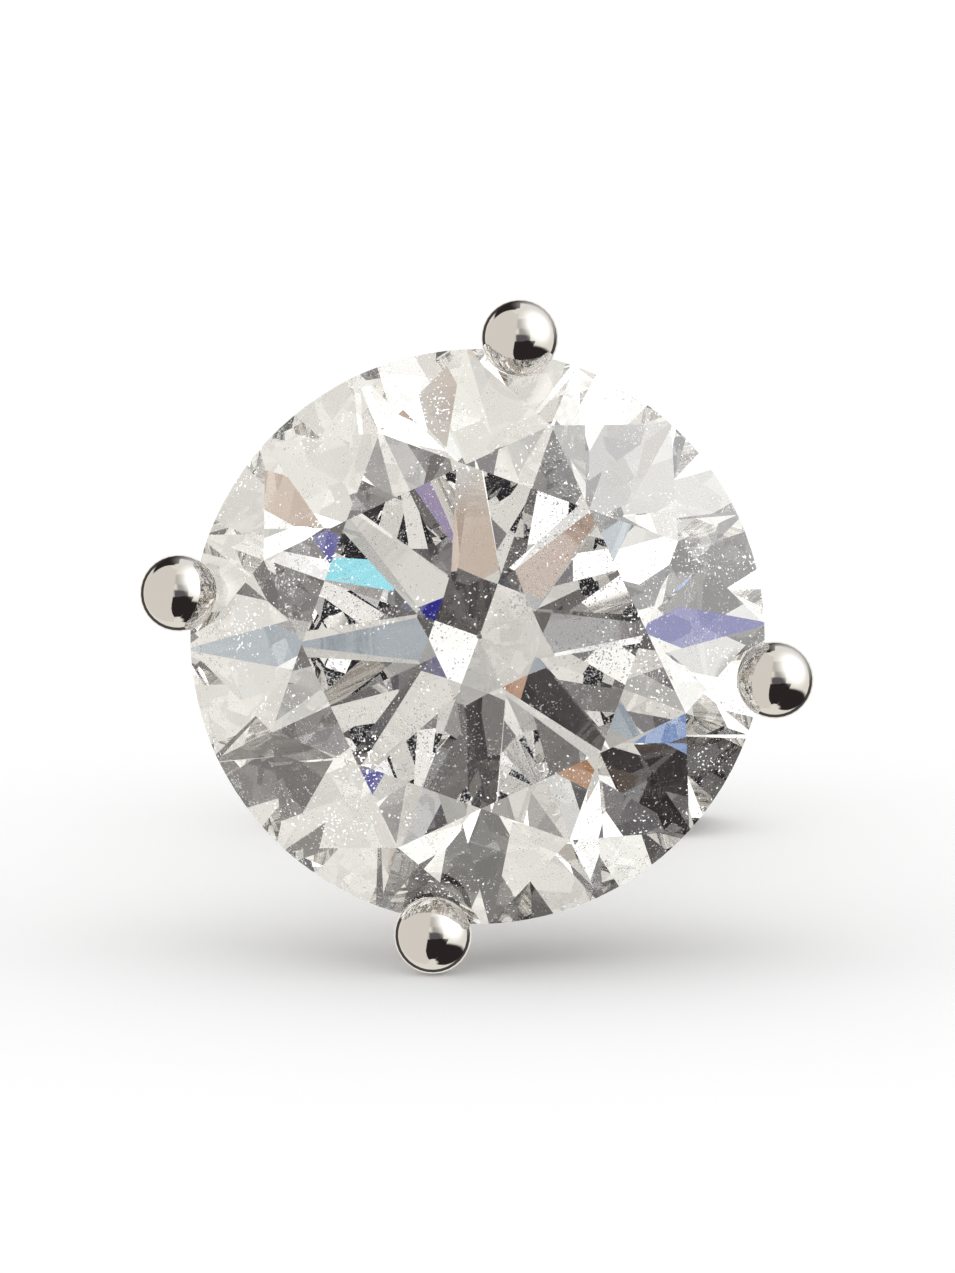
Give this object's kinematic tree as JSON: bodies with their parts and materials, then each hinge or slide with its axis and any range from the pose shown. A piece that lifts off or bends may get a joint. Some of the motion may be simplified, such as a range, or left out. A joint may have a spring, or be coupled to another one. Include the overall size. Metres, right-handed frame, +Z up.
{
  "type": "stud earring",
  "caption": "Solitaire stud earring: a round brilliant stone held by round-tipped claws, with a straight post and a butterfly nut behind.",
  "frame": {"origin": "middle of the base of the bounding box, on the surface that the stud lies on", "axes": "+Z up; -Y from the post out through the stone's table, which leans 7.05 degrees up from level; +X to the right of someone who faces the stone"},
  "size_m": [0.0076, 0.0152, 0.0076],
  "materials": {
    "diamond": "polished",
    "polished_white_gold": "polished",
    "pressed_white_gold": "gloss"
  },
  "bodies": {
    "root": {"stone": "diamond", "claw_setting_with_post": "polished_white_gold", "ear_nut": "pressed_white_gold"}
  },
  "joints": []
}
